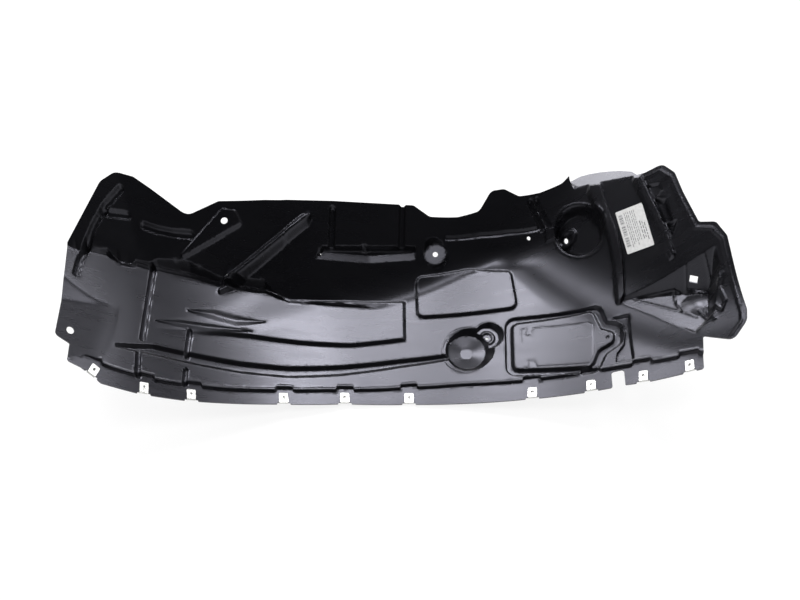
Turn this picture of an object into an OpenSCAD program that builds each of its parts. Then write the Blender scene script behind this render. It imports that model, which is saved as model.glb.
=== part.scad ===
// Wheel arch liner: one moulded plastic panel that lies on its back, wheel side up.
// X runs along the length, Y from the fender lip to the inner wall, Z up.
// The origin is the middle of the bounding box on the surface that the liner lies on.

/* [Panel] */
// Wall thickness of the moulding
wall = 2.4; // [2:0.2:3]
// Slope of the inner wall above the barrel, in degrees
wall_slope = 50; // [46:1:54]
// Half of the length between the two ends
half_l = 459; // [420:1:500]
// Half of the depth between the corner of the lip and the highest point of the inner wall
half_w = 166.5; // [155:0.5:178]
// Angle of the barrel between its lowest line and either end, in degrees
end_angle = 44.06; // [42:0.02:46]
// Radius of the bend between barrel and wall along the left half
bend_r = 14; // [8:1:18]
// Radius of the deeper bend in the right half
deep_bend_r = 40; // [30:2:46]
// Slope of the soft fold along the foot of the right wall, in degrees
fold_slope = 25; // [20:1:30]
// Height up the right wall at which that fold ends, measured across in plan
fold_w = 2; // [1:0.5:4]

/* [Lip flange] */
// Width of the stepped flange along the lip
flange_w = 24.5; // [20:0.5:28]
// Step from the barrel down to the flange
flange_step = 3; // [2:0.5:4]
// Width of the gap between pads where a clip sits
clip_gap = 19; // [17:0.5:22]
// Depth of the gap from the pad edge to the clip seat
clip_gap_depth = 2.5; // [1:0.5:4]
// Width of the open screw slot under a clip
slot_w = 5.5; // [5:0.5:7]
// Depth of that slot from the clip seat
slot_l = 11; // [9:0.5:13]
// Width of the empty notch between two pads at the right
notch_w = 19; // [16:0.5:22]
// Depth of the empty notch
notch_l = 24; // [18:1:26]

/* [Clips] */
// Width of a spring clip
clip_w = 12.5; // [10:0.5:14]
// Length of the upper leaf of a spring clip
clip_l = 15; // [12:0.5:18]
// Sheet thickness of a spring clip
clip_t = 0.8; // [0.6:0.1:1]
// Screw hole in a spring clip
clip_hole_d = 4.2; // [3.5:0.1:5]
// Clearance between clip and panel
clip_gap_t = 0.1; // [0.05:0.05:0.2]
// Distance of the clip's bend from the edge, along the lip and at the slanted corner
clip_out = 0.4; // [0.3:0.1:1]
corner_clip_out = 1; // [0.6:0.1:1.5]

/* [Relief] */
// Height of the plateau, the embossed panel and the beads
raise_h = 5; // [3.5:0.5:6]
// Depth of the long groove, the tray and the ledge
recess_d = 5; // [3.5:0.5:6]
// Width of the long diagonal bead
bead_w = 17; // [14:1:20]
// Width of the long bead beside the dish
wall_bead_w = 11; // [8:1:12]
// Width of the short bead at the right edge
end_bead_w = 8; // [6:1:10]
// Width of the short rib over the small wall hole
rib_w = 14; // [11:1:16]
// Widths of the two leaf-shaped swells beside the bead
upper_swell_w = 21; // [16:1:22]
lower_swell_w = 16; // [12:1:18]
// Width of the long groove at its middle
groove_w = 13; // [10:1:15]
// Width of the slim grooves
slim_groove_w = 6.5; // [5:0.5:8]
// Width of the channels that run up the wall
channel_w = 9; // [7:0.5:10]
// Corner radius of the plateau
plateau_corner_r = 9; // [5:1:14]
// Corner radius of the tray
tray_corner_r = 16; // [10:1:20]
// Width of the moat round the tray
moat_w = 8; // [6:0.5:10]
// Rim radius of the large cup
cup_r = 33.5; // [32:0.5:35]
// Radius of the large cup where its steep side starts
cup_knee_r = 28; // [24:0.5:30]
// Radius of its flat floor
cup_floor_r = 10; // [8:1:14]
// Slope of its dished floor, in degrees
cup_floor_slope = 14; // [10:1:18]
// Height of the large cup's floor under the barrel bottom line
cup_drop = 6; // [4:0.5:8]
// Rim radius of the small cup
small_cup_r = 20.5; // [18:0.5:22]
// Floor radius of the small cup
small_cup_floor_r = 17; // [14:0.5:18]
// Depth of the small cup
small_cup_d = 8; // [6:0.5:10]
// Rim radius of the dish in the inner wall
dish_r = 33; // [31:0.5:34]
// Floor radius of the dish
dish_floor_r = 27; // [25:0.5:29]
// Depth of the dish
dish_d = 13; // [10:1:15]
// Radius of the round screw seat
seat_r = 17.5; // [15:0.5:19]
// Slope of the screw seat's face, in degrees
seat_slope = 22; // [16:1:30]
// Height of the triangular pad over the wall
pad_h = 3; // [2:0.5:4]
// Depth of the wedge-shaped pocket at the right end
pocket_d = 44.5; // [38:0.5:46]
// Depth of the flat facet at the left end
facet_d = 10; // [7:0.5:12]

/* [Fixing holes] */
// Hole at the left end
end_hole_d = 11; // [9:0.5:12]
// Hole in the triangular pad
pad_hole_d = 10; // [8:0.5:11]
// Hole in the round screw seat
seat_hole_d = 8; // [6:0.5:10]
// Small hole in the wall
wall_hole_d = 6; // [4:0.5:8]
// Hole in the dish
dish_hole_d = 8; // [6:0.5:10]
// Drain hole in the small cup
drain_d = 5; // [3:0.5:6]
// Side of the square hole in the pocket at the right end
square_hole = 11; // [9:0.5:12]

/* [Label] */
// Width of the paper label
label_w = 46; // [38:1:48]
// Height of the paper label
label_h = 62; // [56:1:66]
// Thickness of the paper label
label_t = 0.3; // [0.2:0.05:0.4]
// Turn of the label on the wall, in degrees
label_turn = 62; // [56:1:66]

/* [Hidden] */
// Side of the cutting blocks, past every edge of the panel
far = 1400;
// Half of the angle that the revolved forms cover
form_half_angle = 75;
// Radius of the barrel face that looks at the tyre
barrel_r = half_l / sin(end_angle);
// The plan is drawn for a half length of 459 and a half depth of 166.5, and fitted to the panel
share_x = half_l / 459;
share_y = half_w / 166.5;
function spot(p) = [p[0] * share_x, p[1] * share_y];
function spots(list) =
    [for (p = list) len(p) == 3 ? [p[0] * share_x, p[1] * share_y, p[2] * share_y] : spot(p)];
// Bend lines between barrel and wall, in the left half and deeper in the right half
bend_y = 23 * share_y;
deep_bend_y = 95 * share_y;
// Lowest point of the back, under the large cup
floor_z = -(cup_drop + wall);
// Radius of the flange face
flange_r = barrel_r + flange_step;
// Clips along the lip; the first one sits on the chamfered corner at the left end
CLIP_X = [for (x = [-349, -289, -165, -79, 13, 188, 268, 335, 392]) x * share_x];
CORNER_CLIP = spot([-413, -159]);
CORNER_CLIP_DIR = spot([22.5, -12.5]);
// Middle of the empty notch along the length
notch_x = 304 * share_x;
// The pieces; node names the one to show, or all of them
CLIPS = [for (i = [1:len(CLIP_X) + 1]) str("clip_", i)];

// Height of the barrel at a place along the length, for a barrel of radius r
function barrel_z(x, r = barrel_r) = barrel_r - sqrt(r * r - x * x);
// Lip line of the pads in plan
LIP = spots([[-403, -166.1], [-361, -166.7], [-302, -161.5], [-240, -153], [-170, -143.5], [-79, -135],
             [0, -133.5], [85, -133.5], [177, -137], [242, -140], [314, -141], [342, -144], [408, -147]]);
function lip(x) = lookup(x, LIP);
function unit(v) = v / norm(v);
// Share of a length on the barrel that is seen in plan
function plan_share(x) = sqrt(1 - pow(x / barrel_r, 2));
// A plan point set on the barrel
function on_barrel(p) = [p[0], p[1], barrel_z(p[0])];
// Radius of the inner wall at a depth behind its bend, and a plan point set on that wall
function wall_r(y, bend) = barrel_r - (y - bend) * tan(wall_slope);
function on_wall(p, bend = bend_y) =
    [p[0], p[1], barrel_r - sqrt(pow(wall_r(p[1], bend), 2) - p[0] * p[0])];
// Upward normal of that wall at a plan point
function wall_normal(p, bend = bend_y) =
    let (s = p[0] / wall_r(p[1], bend)) unit([-s, -tan(wall_slope), sqrt(1 - s * s)]);
// Upward normal of a plane through three points
function plane_normal(a, b, c) =
    let (n = unit(cross(b - a, c - a))) n[2] < 0 ? -n : n;
// Upward normal of a sloped wall whose foot runs from a to b, rising to the left of that line
function foot_normal(foot, slope = wall_slope) =
    let (d = on_barrel(foot[1]) - on_barrel(foot[0]), l = norm([d[0], d[1]]), u = [d[0], d[1]] / l,
         along = d[2] / l, across = tan(slope) * sqrt(1 + along * along))
    unit([across * u[1] - along * u[0], -along * u[1] - across * u[0], 1]);
// A plan point set on the plane through a with normal n
function on_plane(p, a, n) = [p[0], p[1], a[2] - ((p[0] - a[0]) * n[0] + (p[1] - a[1]) * n[1]) / n[2]];
// Outward normal of the edge from a to b of an outline that runs anticlockwise
function edge_normal(a, b) = unit([b[1] - a[1], a[0] - b[0]]);
// Outline grown by g, with corner i rounded to the radius given as its third number
function rounded(pts, g = 0, steps = 3) =
    let (n = len(pts))
    [for (i = [0:n - 1])
        let (p = [pts[i][0], pts[i][1]],
             a = pts[(i + n - 1) % n], b = pts[(i + 1) % n],
             n1 = edge_normal([a[0], a[1]], p), n2 = edge_normal(p, [b[0], b[1]]),
             mitre = (n1 + n2) / (1 + n1 * n2),
             turn = atan2(n1[0] * n2[1] - n1[1] * n2[0], n1 * n2),
             side = turn < 0 ? -1 : 1,
             r = max(0, pts[i][2] + side * g),
             start = atan2(n1[1], n1[0]),
             q = p + mitre * g)
        if (r == 0 || abs(turn) < 1) q
        else for (k = [0:steps])
            let (at = start + turn * k / steps)
            q - side * r * mitre + side * r * [cos(at), sin(at)]];
// Outline of a band of the given widths round a path, with round ends, grown by g
function path_normal(path, i) = edge_normal(path[max(0, i - 1)], path[min(len(path) - 1, i + 1)]);
function half_band(w, g) = max(0.6, w / 2 + g);
function band(path, widths, g = 0, steps = 4) =
    let (last = len(path) - 1,
         n0 = path_normal(path, 0), n1 = path_normal(path, last),
         a0 = atan2(n0[1], n0[0]), a1 = atan2(n1[1], n1[0]))
    concat([for (i = [0:last]) path[i] + path_normal(path, i) * half_band(widths[i], g)],
           [for (k = [1:steps - 1])
               let (at = a1 + 180 * k / steps)
               path[last] + [cos(at), sin(at)] * half_band(widths[last], g)],
           [for (i = [last:-1:0]) path[i] - path_normal(path, i) * half_band(widths[i], g)],
           [for (k = [1:steps - 1])
               let (at = a0 + 180 + 180 * k / steps)
               path[0] + [cos(at), sin(at)] * half_band(widths[0], g)]);

// Sets its children at p with their Z axis along the normal n
module facing(p, n) {
    translate(p)
        rotate([0, acos(n[2]), atan2(n[1], n[0])])
            children();
}

// Everything above the plane through p with upward normal n, grown by g
module above(p, n, g = 0) {
    facing(p, n)
        translate([-far, -far, -g])
            cube([2 * far, 2 * far, far]);
}

// Upright prism over an outline
module prism(outline) {
    translate([0, 0, -60])
        linear_extrude(360)
            polygon(outline);
}

// The wheel's space: a barrel that bends into the sloped inner wall, grown by g
module wheel_space(y_bend, r_bend, g) {
    tangent = r_bend * tan(wall_slope / 2);
    r_arc = max(1, r_bend + g);
    y_arc = y_bend - tangent;
    bend_steps = 3;
    back = half_w + 60;
    slope_x = barrel_r - (back - y_bend) * tan(wall_slope) + g / cos(wall_slope);
    arc = [for (k = [0:bend_steps])
        let (a = wall_slope * k / bend_steps)
        [barrel_r - r_bend + r_arc * cos(a), y_arc + r_arc * sin(a)]];
    profile = concat([[0, -back], [barrel_r + g, -back]], arc, [[slope_x, back], [0, back]]);
    translate([0, 0, barrel_r])
        rotate([90, 0, 0])
            rotate_extrude(start = -90 - form_half_angle, angle = 2 * form_half_angle, $fn = 360)
                polygon([for (p = profile) [p[0], -p[1]]]);
}

// Foot lines, in plan, of the two flat walls that leave the plain revolve
LEFT_FOOT = spots([[-95, 25], [100, 93]]);
RIGHT_FOOT = spots([[190, 95], [406, -76]]);
LEFT_N = foot_normal(LEFT_FOOT);
RIGHT_N = foot_normal(RIGHT_FOOT);
function on_left(p) = on_plane(p, on_barrel(LEFT_FOOT[0]), LEFT_N);
function on_right(p) = on_plane(p, on_barrel(RIGHT_FOOT[0]), RIGHT_N);
FOLD_TOP = on_right(RIGHT_FOOT[0] - fold_w * edge_normal(RIGHT_FOOT[0], RIGHT_FOOT[1]));

// The space on the wheel side before any relief, grown by g
module base_space(g) {
    intersection() {
        above(on_barrel(RIGHT_FOOT[0]), RIGHT_N, g);
        above(FOLD_TOP, foot_normal(RIGHT_FOOT, fold_slope), g);
        union() {
            wheel_space(bend_y, bend_r, g);
            intersection() {
                wheel_space(deep_bend_y, deep_bend_r, g);
                above(on_barrel(LEFT_FOOT[0]), LEFT_N, g);
            }
        }
    }
}

// Middle of the dish in plan; its neighbours on the right wall keep their distance from it
DISH_SPOT = spot([259, 92]);
function from_dish(list) = [for (p = list) DISH_SPOT + p];

// Plan outlines, each point with its corner radius
PLATEAU = spots([for (p = [[26, 5], [172, 10], [166, 75], [23, 66]]) [p[0], p[1], plateau_corner_r]]);
EMBOSSED = spots([[-298, -54, 3], [-217, -47, 0], [-110, -42, 0], [-88, -42, 0], [4, -26, 3], [3, 30, 3],
                  [-90, 19, 0], [-170, 20, 3], [-200, -30, 6]]);
TRAY = spots([[154, -97, tray_corner_r], [279, -112, tray_corner_r], [291, -88, 6], [312, -76, 10],
              [314, -50, 10], [294, -40, 6], [287, -14, tray_corner_r], [155, -7, tray_corner_r]]);
SIDE_POCKET = spots([[290, -106, 4], [320, -107, 4], [325, -34, 4], [292, -30, 4]]);
LEDGE = spots([[-126, 68, 0], [-46, 73, 0], [22, 88, 2], [22, 101, 2], [-115, 82, 0]]);
TRI_PAD = spots([[-318, 42, 0], [-300, 50, 0], [-226, 92, 8], [-253, 106, 6]]);
UPPER_POCKET = spots([[345, 109, 1], [358, 104, 1], [361, 113, 1], [347, 119, 1]]);
WEDGE = spots([[312, -22, 0], [402, -94, 0], [422, -76, 4], [426, -22, 8], [418, 14, 8], [378, 22, 0],
               [322, -4, 0]]);
END_FACET = spots([[-470, -135, 0], [-425, -140, 6], [-396, -128, 10], [-393, -54, 6], [-422, -60, 0],
                   [-470, -48, 0]]);
SHELF = spots([[254, 176, 0], [257, 157, 4], [264, 146, 4], [276, 136, 4], [333, 112, 0], [345, 140, 0],
               [300, 178, 0]]);
LONG_GROOVE = spots([[-385, -105], [-343, -97], [-290, -96], [-230, -96], [-160, -93], [-90, -84], [0, -69],
                     [72, -60]]);
// Slim grooves: at the left crease, along the left end, its short ribs, and three across the lip side
SLIM_GROOVES = [for (path = [
    [[-352, 28], [-357, -85]],
    [[-384, 96], [-408, 63], [-427, 40], [-438, 24], [-442, -13], [-443, -27]],
    [[-409, 60], [-376, 66]],
    [[-367, 66], [-345, 65], [-320, 67], [-296, 70]],
    [[-360, -113], [-358, -144]],
    [[-299, -108], [-297, -139]],
    [[-299, -54], [-297, -85]]]) spots(path)];
// Channels up the wall, and the one beside the short bead
CHANNELS = [spots([[-93, 83], [-93, 160]]), spots([[3, 99], [3, 160]]), from_dish([[102, 2], [116, -32]])];
// Leaf-shaped swells: their paths, and the share of the full width at each point
UPPER_SWELL = spots([[-300, -22], [-275, -19], [-249, -17], [-223, -17], [-197, -18]]);
LOWER_SWELL = spots([[-341, -51], [-310, -48], [-279, -44], [-248, -41], [-217, -38]]);
SWELL_SHARES = [0.3, 0.8, 1, 0.8, 0.3];

// Band of one width round a path
function even_band(path, w, g) = band(path, [for (p = path) w], g);

module recess_outlines(g) {
    prism(band(LONG_GROOVE, [for (share = [0.3, 1, 1, 1, 1, 1, 0.8, 0.5]) share * groove_w], g));
    difference() {
        union() {
            prism(rounded(TRAY, g));
            prism(rounded(SIDE_POCKET, g));
        }
        prism(rounded(TRAY, -moat_w - g));
    }
    prism(rounded(LEDGE, g));
    prism(rounded(UPPER_POCKET, g));
    for (path = SLIM_GROOVES)
        prism(even_band(path, slim_groove_w, g));
    for (path = CHANNELS)
        prism(even_band(path, channel_w, g));
}

module raised_outlines(g) {
    prism(rounded(PLATEAU, g));
    prism(rounded(EMBOSSED, g));
    prism(even_band(spots([[-262, 22], [-128, 109]]), bead_w, g));
    prism(even_band(from_dish([[15, 40], [40, -24], [53, -96]]), wall_bead_w, g));
    prism(even_band(from_dish([[74, 22], [99, -30], [112, -67]]), end_bead_w, g));
    prism(even_band(spots([[194, 150], [218, 104]]), rib_w, g));
    prism(band(UPPER_SWELL, upper_swell_w * SWELL_SHARES, g));
    prism(band(LOWER_SWELL, lower_swell_w * SWELL_SHARES, g));
}

// Round bowl whose rim lies in the XY plane, grown by g
module bowl(floor_r, rim_r, depth, g) {
    draft = (rim_r - floor_r) / depth;
    height = 3 * depth + g;
    r1 = floor_r + g * (sqrt(1 + draft * draft) - draft);
    translate([0, 0, -depth - g])
        cylinder(r1 = r1, r2 = r1 + draft * height, h = height, $fn = 72);
}

// Two upright cups in the barrel, and the dish in the right wall
CUP = on_barrel(spot([98, -50]));
SMALL_CUP = on_barrel(spot([128, -30]));
DISH = on_right(DISH_SPOT);
module cups(g) {
    cup_d = CUP[2] + cup_drop;
    translate(CUP)
        intersection() {
            bowl(cup_floor_r, cup_floor_r + cup_d / tan(cup_floor_slope), cup_d, g);
            bowl(cup_knee_r, cup_r, cup_d, g);
        }
    translate(SMALL_CUP)
        bowl(small_cup_floor_r, small_cup_r, small_cup_d, g);
    facing(DISH, RIGHT_N)
        bowl(dish_floor_r, dish_r, dish_d, g);
}

// Round screw seat on the left wall: sunk at its back, proud at its front
SEAT = on_left(spot([53, 98.5]));
SEAT_N = [0, -sin(seat_slope), cos(seat_slope)];
module seat(r, z0, h) {
    facing(SEAT, SEAT_N)
        translate([0, 0, z0])
            cylinder(r = r, h = h, $fn = 60);
}

// Wedge-shaped pocket in the right wall: its tip, the top and foot of its steep face, its low corner
TIP = on_right(spot([329, -17]));
STEEP_TOP = on_right(spot([413, -2.5]));
STEEP_FOOT = on_right(spot([421, -33])) - [0, 0, pocket_d];
LOW_CORNER = on_right(spot([406, -76]));
STEEP_N = plane_normal(TIP, STEEP_TOP, STEEP_FOOT);
WEDGE_N = plane_normal(TIP, STEEP_FOOT, LOW_CORNER);
// Flat facet under the hole at the left end
FACET = [on_barrel(spot([-394, -54])), on_barrel(spot([-405, -130])),
         on_barrel(spot([-455, -60])) - [0, 0, facet_d]];
FACET_N = plane_normal(FACET[0], FACET[1], FACET[2]);
// Rim turned back from the top of the right wall: it follows the edge and runs back level
SHELF_EDGE = on_right(spot([273, 141]));
SHELF_N = plane_normal(SHELF_EDGE, on_right(spot([323, 124])), SHELF_EDGE + [17, 50, 0]);
module flat_pockets(g) {
    intersection() {
        above(TIP, STEEP_N, g);
        above(TIP, WEDGE_N, g);
        prism(rounded(WEDGE, g));
    }
    intersection() {
        above(FACET[0], FACET_N, g);
        prism(rounded(END_FACET, g));
    }
    intersection() {
        above(SHELF_EDGE, SHELF_N, g);
        prism(rounded(SHELF, g));
    }
}

// The flange band along the lip
module flange_band(g) {
    xs = concat([-half_l - 20], [for (p = LIP) p[0]], [half_l + 20]);
    prism(concat([for (x = xs) [x, lip(x) - 60]],
                 [for (i = [len(xs) - 1:-1:0]) [xs[i], lip(xs[i]) + flange_w + g]]));
}

// The whole wheel-side form, grown by g; the panel is the skin between two of these
PAD_HOLE = on_wall(spot([-251, 88]));
module form(g) {
    difference() {
        union() {
            base_space(g);
            intersection() {
                base_space(recess_d + g);
                recess_outlines(g);
            }
            intersection() {
                base_space(flange_step + g);
                flange_band(g);
            }
            cups(g);
            seat(seat_r + g, -g, 40);
            flat_pockets(g);
        }
        difference() {
            raised_outlines(-g);
            base_space(g - raise_h);
        }
        difference() {
            prism(rounded(TRI_PAD, -g));
            above(PAD_HOLE + pad_h * wall_normal(PAD_HOLE), wall_normal(PAD_HOLE), g);
        }
        seat(seat_r - g, -50, 50 - g);
    }
}

// Holes through the skin
END_HOLE = on_plane(spot([-442, -103]), FACET[0], FACET_N);
SQUARE_HOLE = on_plane(spot([404, -20]), TIP, STEEP_N);
WALL_HOLE = spot([191.5, 111]);
DISH_HOLE = DISH_SPOT + [-14, 6];
module bore(p, n, d) {
    facing(p, n)
        translate([0, 0, -25])
            cylinder(d = d, h = 50, $fn = 48);
}
module holes() {
    bore(END_HOLE, FACET_N, end_hole_d);
    bore(PAD_HOLE, wall_normal(PAD_HOLE), pad_hole_d);
    bore(SEAT, SEAT_N, seat_hole_d);
    bore(on_wall(WALL_HOLE, deep_bend_y), wall_normal(WALL_HOLE, deep_bend_y), wall_hole_d);
    bore(on_right(DISH_HOLE), RIGHT_N, dish_hole_d);
    bore(SMALL_CUP, [0, 0, 1], drain_d);
    facing(SQUARE_HOLE, STEEP_N)
        cube([square_hole, square_hole, 30], center = true);
    at_lip(CORNER_CLIP, CORNER_CLIP_DIR)
        screw_slot();
    for (x = CLIP_X)
        at_lip([x, lip(x)], lip_dir(x))
            screw_slot();
}

// Sets its children on the flange at lip point p: X along direction d of the edge, Y inward, Z outward
module at_lip(p, d) {
    tilt = asin(p[0] / flange_r);
    translate([p[0], p[1], barrel_z(p[0], flange_r)])
        rotate([0, -tilt, 0])
            rotate([0, 0, atan2(d[1] * cos(tilt), d[0])])
                children();
}

// Open slot that lets the screw of a clip through the flange
module screw_slot() {
    end_y = clip_gap_depth + slot_l - slot_w / 2;
    translate([-slot_w / 2, -5, -10])
        cube([slot_w, end_y + 5, 20]);
    translate([0, end_y, -10])
        cylinder(d = slot_w, h = 20, $fn = 32);
}

// Gap between two pads in which a clip sits, at plan point c along direction d
function clip_cut(c, d, share) =
    let (u = unit(d), v = [-u[1], u[0]], a = clip_gap / 2 * share)
    [for (q = [[-a, 0, 1.5], [-a, clip_gap_depth, 1], [a, clip_gap_depth, 1], [a, 0, 1.5]])
        let (p = c + q[0] * u + q[1] * v) [p[0], p[1], q[2]]];
function lip_dir(x) = [20, lip(x + 10) - lip(x - 10)];

// Notch between two pads, open to the lip
NOTCH = [for (q = [[-1, 0, 2], [-1, notch_l, 4], [1, notch_l, 4], [1, 0, 2]])
    [notch_x + q[0] * notch_w / 2 * plan_share(notch_x), lip(notch_x) + q[1], q[2]]];

// Plan outline of the panel, anticlockwise from the left end of the lip
OUTLINE = concat(
    spots([[-441, -149, 3], [-426, -152, 3]]),
    clip_cut(CORNER_CLIP, CORNER_CLIP_DIR, plan_share(CORNER_CLIP[0])),
    spots([[-401, -166.1, 4]]),
    [for (x = CLIP_X) if (x < notch_x) each clip_cut([x, lip(x)], lip_dir(x), plan_share(x))],
    NOTCH,
    [for (x = CLIP_X) if (x > notch_x) each clip_cut([x, lip(x)], lip_dir(x), plan_share(x))],
    spots([[408, -147, 2], [410, -102, 2], [444, -122, 8], [459, -104, 12], [459.3, -90, 20], [437, 3, 14],
           [424, 24, 12], [405, 33, 8], [379, 92, 14], [365, 115, 10], [342, 119, 8], [331, 121, 3],
           [326, 132, 6], [312, 143, 30], [300, 150, 30], [288, 156, 30], [275, 161, 30], [262, 165, 8],
           [249, 165, 6], [232, 157, 16], [206, 155, 20], [176, 157, 14], [154, 166.5, 14],
           [135, 166.5, 12], [118, 147, 14], [86, 140, 20], [44, 136, 16], [20, 144, 10], [-97, 131, 40],
           [-195, 118, 30], [-258, 107, 16], [-300, 86, 20], [-352, 106, 10], [-388, 114, 14],
           [-457, 22, 8], [-456, -27, 40], [-459, -115, 6], [-441, -123, 3]]));

module liner_panel() {
    color([0.09, 0.09, 0.10])
        translate([0, 0, -floor_z])
            difference() {
                intersection() {
                    form(wall);
                    prism(rounded(OUTLINE));
                }
                form(0);
                holes();
            }
}

// Paper label on the right wall, in the frame of that wall
LABEL = on_right(DISH_SPOT + [71, -30]);
module label() {
    color([0.86, 0.86, 0.83])
        translate([0, 0, -floor_z])
            facing(LABEL, RIGHT_N)
                rotate([0, 0, label_turn])
                    translate([-label_h / 2, -label_w / 2, 0.02])
                        cube([label_h, label_w, label_t]);
}

// Sheet-metal spring clip: Y runs inward over the flange, Z out of it
module spring_clip() {
    c = clip_gap_t;
    t = clip_t;
    cut = 0.5 * t;
    lower_l = 0.75 * clip_l;
    color([0.62, 0.62, 0.60])
        difference() {
            rotate([90, 0, 90])
                linear_extrude(clip_w, center = true)
                    polygon([[clip_l, c], [clip_l, c + t], [cut - t, c + t], [-t, c + t - cut],
                             [-t, cut - wall - c - t], [cut - t, -wall - c - t], [lower_l, -wall - c - t],
                             [lower_l, -wall - c], [0, -wall - c], [0, c]]);
            translate([0, 0.55 * clip_l, -10])
                cylinder(d = clip_hole_d, h = 20, $fn = 32);
        }
}

// A spring clip on the flange at lip point p, its bend pushed a distance out past the edge of the panel
module clip_at(p, d, out) {
    translate([0, 0, -floor_z])
        at_lip(p, d)
            translate([0, clip_gap_depth - out, 0])
                spring_clip();
}
module clip(i) {
    if (i == 0) clip_at(CORNER_CLIP, CORNER_CLIP_DIR, corner_clip_out);
    else clip_at([CLIP_X[i - 1], lip(CLIP_X[i - 1])], lip_dir(CLIP_X[i - 1]), clip_out);
}

liner_panel();
label();
clip(0);  // clip_1
clip(1);  // clip_2
clip(2);  // clip_3
clip(3);  // clip_4
clip(4);  // clip_5
clip(5);  // clip_6
clip(6);  // clip_7
clip(7);  // clip_8
clip(8);  // clip_9
clip(9);  // clip_10
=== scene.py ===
import math

import bmesh
import bpy
import numpy as np
from mathutils import Matrix, Vector


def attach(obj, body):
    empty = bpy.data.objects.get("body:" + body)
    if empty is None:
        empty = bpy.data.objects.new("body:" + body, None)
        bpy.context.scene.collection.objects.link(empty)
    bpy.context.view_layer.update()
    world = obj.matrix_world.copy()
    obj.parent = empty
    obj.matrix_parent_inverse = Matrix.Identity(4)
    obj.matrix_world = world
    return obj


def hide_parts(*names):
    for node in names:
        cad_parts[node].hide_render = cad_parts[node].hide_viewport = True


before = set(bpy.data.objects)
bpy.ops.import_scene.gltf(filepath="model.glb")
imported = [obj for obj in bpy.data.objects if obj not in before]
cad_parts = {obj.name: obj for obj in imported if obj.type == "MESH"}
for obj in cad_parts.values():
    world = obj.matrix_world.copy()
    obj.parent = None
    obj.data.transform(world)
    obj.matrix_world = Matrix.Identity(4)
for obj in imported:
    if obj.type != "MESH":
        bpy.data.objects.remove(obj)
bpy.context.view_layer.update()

# Camera: a long lens, high in front of the lip, looking down into the wheel side.
CAMERA_DISTANCE = 2.0
CAMERA_ELEVATION = math.radians(60)
CAMERA_AIM = (0.0, 0.038, 0.0084)
camera_data = bpy.data.cameras.new("camera")
camera_data.sensor_width = 36.0
camera_data.lens = 59.985
camera = bpy.data.objects.new("camera", camera_data)
camera.location = (CAMERA_AIM[0],
                   CAMERA_AIM[1] - CAMERA_DISTANCE * math.cos(CAMERA_ELEVATION),
                   CAMERA_AIM[2] + CAMERA_DISTANCE * math.sin(CAMERA_ELEVATION))
camera.rotation_euler = (math.pi / 2 - CAMERA_ELEVATION, 0.0, 0.0)
bpy.context.scene.collection.objects.link(camera)
bpy.context.scene.camera = camera
bpy.context.scene.view_settings.view_transform = "Standard"


# Floor: a white paper sweep under the liner, white to the eye and plain matt paper to the light.
def new_material(name):
    material = bpy.data.materials.new(name)
    material.use_nodes = True
    nodes = material.node_tree.nodes
    return material, nodes, material.node_tree.links, nodes["Principled BSDF"]


def new_object(name, mesh_source, material):
    mesh = bpy.data.meshes.new(name)
    mesh_source.to_mesh(mesh)
    mesh_source.free()
    thing = bpy.data.objects.new(name, mesh)
    mesh.materials.append(material)
    bpy.context.scene.collection.objects.link(thing)
    return thing


FLOOR_SIDE = 12.0
FLOOR_GLOW = 0.86
paper, nodes, links, paper_shader = new_material("white_paper")
paper_shader.inputs["Base Color"].default_value = (0.85, 0.85, 0.85, 1)
paper_shader.inputs["Roughness"].default_value = 0.9
glow = nodes.new("ShaderNodeEmission")
glow.inputs["Strength"].default_value = 1.0
rays = nodes.new("ShaderNodeLightPath")
seen = nodes.new("ShaderNodeMath")
seen.operation = "MAXIMUM"
seen_too = nodes.new("ShaderNodeMath")
seen_too.operation = "MAXIMUM"
share = nodes.new("ShaderNodeMath")
share.operation = "MULTIPLY"
share.inputs[1].default_value = FLOOR_GLOW
mix = nodes.new("ShaderNodeMixShader")
links.new(rays.outputs["Is Camera Ray"], seen.inputs[0])
links.new(rays.outputs["Is Glossy Ray"], seen.inputs[1])
links.new(seen.outputs[0], seen_too.inputs[0])
links.new(rays.outputs["Is Transmission Ray"], seen_too.inputs[1])
links.new(seen_too.outputs[0], share.inputs[0])
links.new(share.outputs[0], mix.inputs["Fac"])
links.new(paper_shader.outputs[0], mix.inputs[1])
links.new(glow.outputs[0], mix.inputs[2])
links.new(mix.outputs[0], nodes["Material Output"].inputs["Surface"])
sheet = bmesh.new()
bmesh.ops.create_grid(sheet, x_segments=1, y_segments=1, size=FLOOR_SIDE / 2)
floor = new_object("floor", sheet, paper)


# Lamps: soft boxes behind and above the liner, and a dim room all round.
def soft_box(name, place, aim, width, height, watts):
    lamp = bpy.data.lights.new(name, "AREA")
    lamp.shape = "RECTANGLE"
    lamp.size = width
    lamp.size_y = height
    lamp.energy = watts
    holder = bpy.data.objects.new(name, lamp)
    holder.location = place
    towards = Vector(aim) - Vector(place)
    holder.rotation_euler = towards.to_track_quat("-Z", "Y").to_euler()
    bpy.context.scene.collection.objects.link(holder)


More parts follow.
